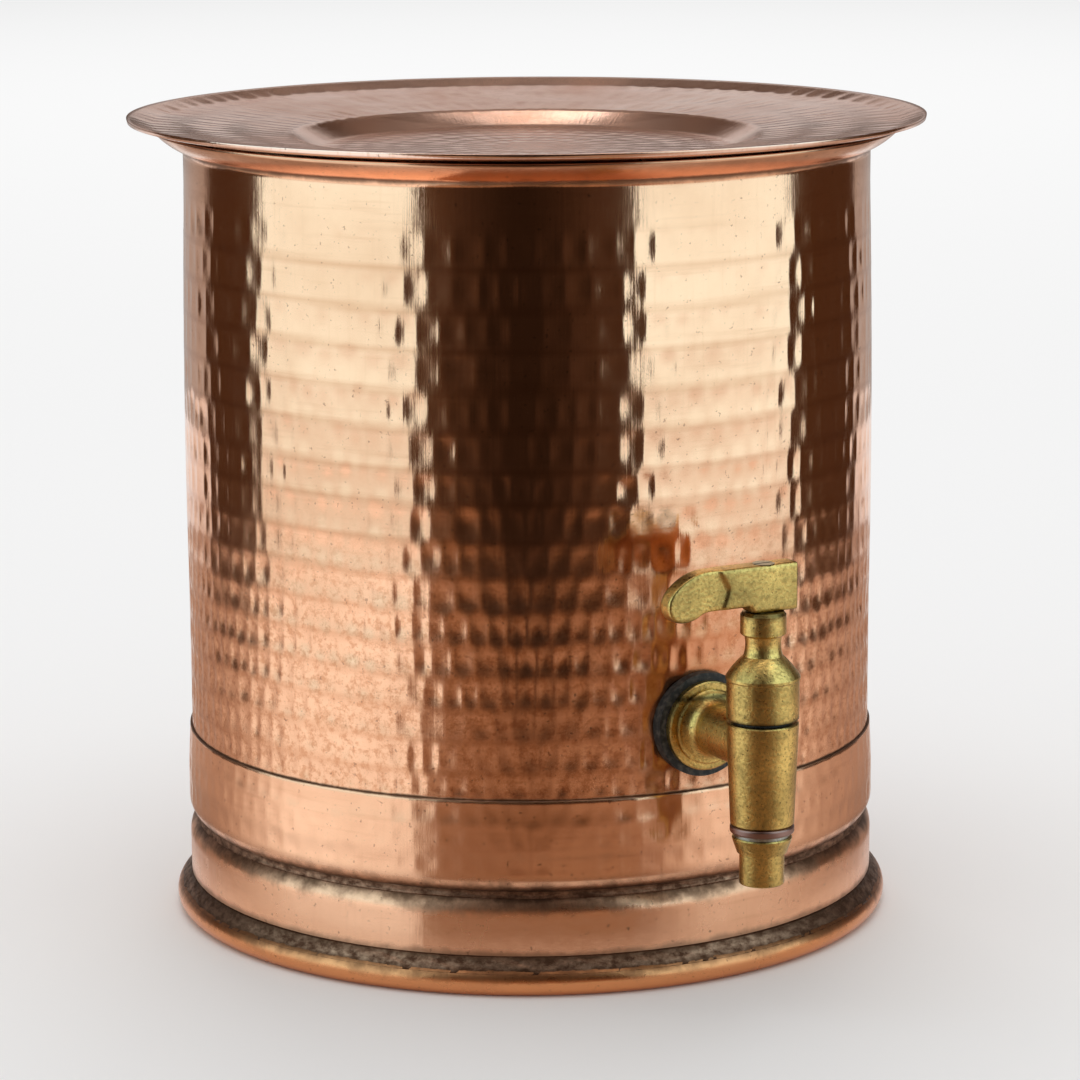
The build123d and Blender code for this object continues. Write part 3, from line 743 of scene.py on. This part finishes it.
def make_base_pan(material):
    """The pan, with softer marks on its wall and a rounded corner."""
    radius, bottom, top = box_mm("base_pan")
    corner = 6.0
    flat = radius - corner
    high = bottom + corner
    seam_r = radius - 0.7
    low_r = radius - SHEET
    outer = (
        straight((0, bottom), (flat, bottom), 14)
        + arc((flat, bottom), (flat + corner * DIAGONAL, high - corner * DIAGONAL), (radius, high), 8)
        + straight((radius, high), (radius, PAN_STRAIGHT), 10)
        + straight((radius, PAN_STRAIGHT), (seam_r, top - 0.3), 12)
        + straight((seam_r, top - 0.3), (seam_r - 0.25, top), 1)
    )
    outer_rows = len(outer)
    inside = (corner - SHEET) * DIAGONAL
    floor = bottom + SHEET
    inner = (
        [(seam_r - 0.25, top), (seam_r - SHEET, top), (low_r, PAN_STRAIGHT)]
        + arc((low_r, high), (flat + inside, high - inside), (flat, floor), 5)
        + straight((flat, floor), (0, floor), 14)
        + [(0, floor)]
    )
    marks = Hammering(5, 2 * math.pi * radius, high, top, 8.8, 8.0, 0.20)

    def dent(turn, radius_, height, index):
        depth = np.zeros_like(height)
        on = (index < outer_rows) & (height > high) & (radius_ > flat)
        depth[on] = marks.depth_at(turn[on] * radius, height[on])
        fade = smooth_step(height, high, high + 3) * (1 - smooth_step(height, top - 2, top - 0.5))
        return depth * fade, np.zeros_like(height)

    return turned("hammered_pan", outer + inner, 756, dent, material)


def make_stand_ring(material):
    """The band below the pan, nearly smooth, with a flange turned in at its shoulder."""
    radius, bottom, top = box_mm("stand_ring")
    shoulder = 7.0
    hole_r = 100.0
    flat = radius - shoulder
    low_z = top - shoulder
    outside = shoulder * DIAGONAL
    wall_rows = 12
    outer = (
        straight((radius, bottom), (radius, low_z), wall_rows)
        + arc((radius, low_z), (flat + outside, low_z + outside), (flat, top), 10)
        + straight((flat, top), (hole_r, top), 2)
        + [(hole_r, top)]
    )
    inside = (shoulder - SHEET) * DIAGONAL
    inner = (
        straight((hole_r, top - SHEET), (flat, top - SHEET), 2)
        + arc((flat, top - SHEET), (flat + inside, low_z + inside), (radius - SHEET, low_z), 5)
        + [(radius - SHEET, low_z), (radius - SHEET, bottom)]
    )
    marks = Hammering(23, 2 * math.pi * radius, bottom, low_z + 2, 9.0, 6.5, 0.05)

    def dent(turn, radius_, height, index):
        depth = np.zeros_like(height)
        on = index < wall_rows
        depth[on] = marks.depth_at(turn[on] * radius, height[on])
        return depth * (1 - smooth_step(height, low_z - 3, low_z)), np.zeros_like(height)

    return turned("stand_band", outer + inner, 720, dent, material)


def make_lid(material):
    """The lid: hammered floor, step and flange, with a thin rim folded under."""
    radius, bottom, top = box_mm("lid_dish")
    rim = (radius - 0.15, top - 0.05)
    bend = (radius - 8.7, top - 2.5)
    step_top = (radius - 56.7, top - 7.0)
    step_low = (radius - 66.7, bottom + SHEET)
    slope = (rim[1] - bend[1]) / (rim[0] - bend[0])
    under_rim = (rim[0], rim[1] - 0.35)
    hem_low = (rim[0] - 0.25, rim[1] - 1.5)
    hem_in = (rim[0] - 3.2, rim[1] - 1.5 - 3.0 * slope)
    hem_top = (hem_in[0] - 0.1, hem_in[1] + 0.75)
    thick = np.array((0.0, SHEET))
    under = [np.array(p) - thick for p in (bend, step_top, step_low)]
    lower = (
        straight((0, bottom), under[2], 10)
        + straight(under[2], under[1], 4)
        + straight(under[1], under[0], 14)
        + straight(under[0], hem_top, 2)
        + [hem_top, hem_in, hem_low, under_rim]
    )
    lower_rows = len(lower)
    upper = (
        straight(rim, bend, 6)
        + straight(bend, step_top, 34)
        + arc(step_top, (step_top[0] - 5.3, step_top[1] - 2.9), step_low, 8)
        + straight(step_low, (0, bottom + SHEET), 46)
        + [(0, bottom + SHEET)]
    )
    flange_r, floor_r = 108, 48
    flange = Hammering(31, 2 * math.pi * flange_r, step_top[0] - 2, rim[0], 17.0, 8.0, 0.19, disc=True)
    floor = Hammering(37, 2 * math.pi * floor_r, 2.0, step_low[0], 8.5, 7.5, 0.13, disc=True)

    def dent(turn, radius_, height, index):
        depth = np.zeros_like(height)
        top_side = index >= lower_rows
        on_flange = top_side & (radius_ > step_top[0] - 1)
        depth[on_flange] = flange.depth_at(turn[on_flange] * flange_r, radius_[on_flange])
        on_floor = top_side & (radius_ < step_low[0])
        depth[on_floor] = floor.depth_at(turn[on_floor] * floor_r, radius_[on_floor])
        near_rim = 1 - smooth_step(radius_, rim[0] - 4, rim[0] - 1)
        near_axis = smooth_step(radius_, 3, 12)
        return depth * near_rim * near_axis, np.zeros_like(height)

    return turned("hammered_lid", lower + upper, 720, dent, material)


def make_solder(name, outline, faced, seed, material):
    """A lumpy ring of solder from a closed outline; its first points, as many as faced, are in view."""
    rng = np.random.default_rng(seed)
    waves = [(k, rng.uniform(0, 2 * np.pi), rng.uniform(0.4, 1.0)) for k in (9, 17, 31, 53, 90, 140, 200)]

    def dent(turn, radius, height, index):
        lumps = sum(a * np.sin(k * turn + p + index * (0.6 + 0.01 * k)) for k, p, a in waves) / len(waves)
        lumpy = np.where((index > 0) & (index < faced), np.clip(0.25 + 0.5 * lumps, 0, 0.8), 0.0)
        return lumpy, np.zeros_like(height)

    return turned(name, outline, 720, dent, material)


def make_upper_solder(material):
    """The solder in the groove under the pan."""
    radius, low, top = box_mm("upper_solder")
    tip = (radius - 3.4, (low + top) / 2 + 0.3)
    faced = 5
    outline = straight((radius, low), (radius - 0.3, top), faced) + [(radius - 0.3, top), tip]
    return make_solder("groove_solder", outline, faced, 3, material)


def make_lower_solder(material):
    """The fillet of solder on the foot bead."""
    radius, low, top = box_mm("lower_solder")
    wall = box_mm("stand_ring")[0]
    bead_top = box_mm("foot_bead")[2]
    faced = 9
    face = arc((radius, low), (radius - 2.2, low + 3.1), (wall, top), faced)
    under = arc((wall, bead_top), ((wall + radius) / 2, bead_top - 0.6), (radius, low), 4)
    return make_solder("foot_solder", face + [(wall, top)] + under, faced, 4, material)


def softened(node, name, voxel, passes):
    """A copy of a cast piece with its edges worn round."""
    obj = frame["nodes"][node].copy()
    obj.data = obj.data.copy()
    obj.name = name
    obj.parent = None
    obj.matrix_world = frame["nodes"][node].matrix_world.copy()
    bpy.context.scene.collection.objects.link(obj)
    remesh = obj.modifiers.new("remesh", "REMESH")
    remesh.mode = "VOXEL"
    remesh.voxel_size = voxel
    smooth = obj.modifiers.new("smooth", "SMOOTH")
    smooth.factor = 0.5
    smooth.iterations = passes
    ready = bpy.data.meshes.new_from_object(obj.evaluated_get(bpy.context.evaluated_depsgraph_get()))
    obj.modifiers.clear()
    obj.data = ready
    ready.shade_smooth()
    return obj


# ------------------------------------------------------------------ the object
def dress(obj, body, nodes):
    """Puts a finished piece on its body, in place of its CAD nodes."""
    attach(obj, body)
    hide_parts(*nodes)


def make_materials():
    """Each slot's material, and those of the pan and the foot bead, with grime where pieces meet and painted
    shade under the lid's rim, the pan's overhang and the lever.
    """
    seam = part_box("base_pan")[1].z
    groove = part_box("stand_ring")[1].z
    bead_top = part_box("foot_bead")[1].z
    fillet_low, fillet_top = (corner.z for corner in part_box("lower_solder"))
    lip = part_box("body_shell")[1].z
    crease = lip - LIP_RISE * MM
    washer_low, washer_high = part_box("outer_washer")
    washer_middle = (washer_low + washer_high) / 2
    flux = Vector((0.0, -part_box("stand_ring")[1].x, washer_high.z))

    # Rust round the tap's mount, and the copper darker close round the mount.
    rust_and_dark_spots = (
        (flux, 0.026, 0.066, 0.72, COPPER_RUST),
        (washer_middle, 0.026, 0.046, 0.6, COPPER_BLACK),
    )
    # The pan seam line is dark and the crease is darker along its line; the wide band at the lip is painted
    # shade under the lid's rim.
    seam_dirt_and_lip_shade = ((seam, 0.9 * MM, 0.85), (crease, 1.6 * MM, 0.75), (lip, 7 * MM, 0.3))
    pan_bands = ((groove, 6 * MM, 0.85), (seam, 0.7 * MM, 0.85))
    # Tarnish at the groove and the fillet; the groove band's wide reach over the stand's shoulder is painted
    # shade under the pan's overhang.
    foot_tarnish_and_shade = ((groove, 8.0 * MM, 0.92), (fillet_top, 2.6 * MM, 0.55))
    bead_bands = ((bead_top, 5.5 * MM, 0.75),)
    joint_grime_and_shade = (
        (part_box("plug_seal")[1].z, 1.6 * MM, 0.85),
        (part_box("copper_washer")[0].z, 1.2 * MM, 0.7),
        # painted shade under the lever; the two bands above are grime where parts meet
        (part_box("lever")[0].z, 2.2 * MM, 0.7),
    )
    edges = ((groove + 1.2 * MM, 1.6 * MM, 0.8), (fillet_low, 2.0 * MM, 0.8), (fillet_top, 2.5 * MM, 0.8))
    washer = matt("washer_copper", (0.30, 0.17, 0.14), 0.35)
    washer.node_tree.nodes["Principled BSDF"].inputs["Metallic"].default_value = 1.0
    by_slot = {
        "hammered_copper": copper(
            "hammered_copper", (0.11, 0.17), brush=0.2, bands=seam_dirt_and_lip_shade, spots=rust_and_dark_spots, satin=(0.118, 0.172)
        ),
        "smooth_copper": copper("smooth_copper", (0.20, 0.30), bands=foot_tarnish_and_shade),
        "lid_copper": copper("lid_copper", (0.14, 0.24), LID_COPPER, brush=0.4, streaks=90.0, dulled=0.9),
        "washer_copper": washer,
        "tap_brass": brass(joint_grime_and_shade),
        "solder": solder(edges),
        "steel_wire": steel("steel_wire"),
        "screw_steel": steel("screw_steel"),
        "seal_rubber": rubber(),
    }
    pan = copper("pan_copper", (0.17, 0.27), brush=0.45, bands=pan_bands)
    bead = copper("bead_copper", (0.20, 0.30), BEAD_COPPER, bands=bead_bands)
    return by_slot, pan, bead


def main():
    make_camera()
    make_mirrored_studio()
    make_room()
    by_slot, pan, bead = make_materials()
    for part in frame["record"]["subparts"]:
        mesh = frame["nodes"][part["node"]].data
        mesh.materials.clear()
        mesh.materials.append(by_slot[part["material_slot"]])
    frame["nodes"]["foot_bead"].data.materials[0] = bead
    dress(make_body_shell(by_slot["hammered_copper"]), "vessel", ["body_shell"])
    dress(make_base_pan(pan), "vessel", ["base_pan"])
    dress(make_stand_ring(by_slot["smooth_copper"]), "vessel", ["stand_ring"])
    dress(make_upper_solder(by_slot["solder"]), "vessel", ["upper_solder"])
    dress(make_lower_solder(by_slot["solder"]), "vessel", ["lower_solder"])
    dress(make_lid(by_slot["lid_copper"]), "lid", ["lid_dish"])
    dress(softened("lever", "cast_lever", 0.35 * MM, 34), "tap_plug", ["lever"])


main()
